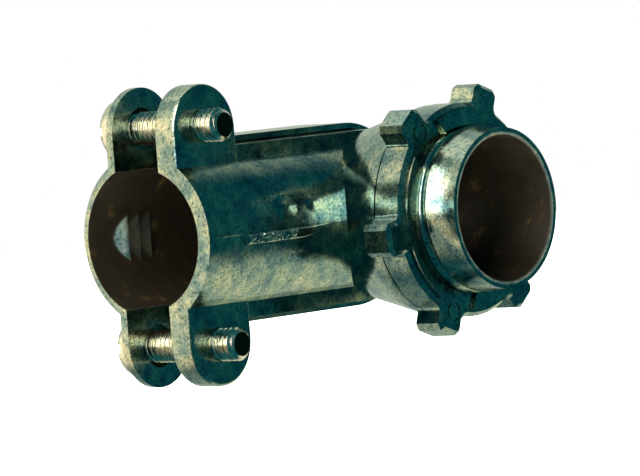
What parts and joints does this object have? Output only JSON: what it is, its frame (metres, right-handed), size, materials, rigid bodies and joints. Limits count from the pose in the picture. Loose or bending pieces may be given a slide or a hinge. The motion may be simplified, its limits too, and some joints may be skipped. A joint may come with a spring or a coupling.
{
  "type": "conduit squeeze connector",
  "caption": "Right-angle squeeze connector that clamps flexible metal conduit and fastens through a box knockout with a threaded hub and lugged locknut.",
  "frame": {"origin": "on the hub axis, in the face of the shoulder that seats against the box wall", "axes": "-Y along the threaded hub, into the box; -X along the conduit channel, out of its mouth; +Z through the ears, towards the upper clamp screw"},
  "size_m": [0.054, 0.0372, 0.0374],
  "materials": {
    "cast_zinc": "satin",
    "plated_steel": "gloss"
  },
  "bodies": {
    "body": {"body": "cast_zinc"},
    "cover": {"cover": "cast_zinc"},
    "upper_screw": {"clamp_screw_upper": "plated_steel"},
    "lower_screw": {"clamp_screw_lower": "plated_steel"},
    "locknut": {"locknut": "cast_zinc"}
  },
  "joints": [
    {"name": "cover_squeeze", "type": "slide", "parent": "body", "child": "cover", "axis": [0, -1, 0], "range_m": [-0.0008, 0.0045]},
    {"name": "upper_screw_turn", "type": "hinge", "parent": "cover", "child": "upper_screw", "pos_m": [-0.0324, 0.0224, 0.0135], "axis": [0, -1, 0], "range_deg": [-363, 2042]},
    {"name": "lower_screw_turn", "type": "hinge", "parent": "cover", "child": "lower_screw", "pos_m": [-0.0324, 0.0224, -0.0135], "axis": [0, -1, 0], "range_deg": [-363, 2042]},
    {"name": "locknut_travel", "type": "slide", "parent": "body", "child": "locknut", "axis": [0, -1, 0], "range_m": [-0.0002, 0.0055]}
  ],
  "couplings": [
    {"joint": "upper_screw_turn", "follows": "cover_squeeze", "rad_per_m": 7915.8},
    {"joint": "lower_screw_turn", "follows": "cover_squeeze", "rad_per_m": 7915.8}
  ]
}
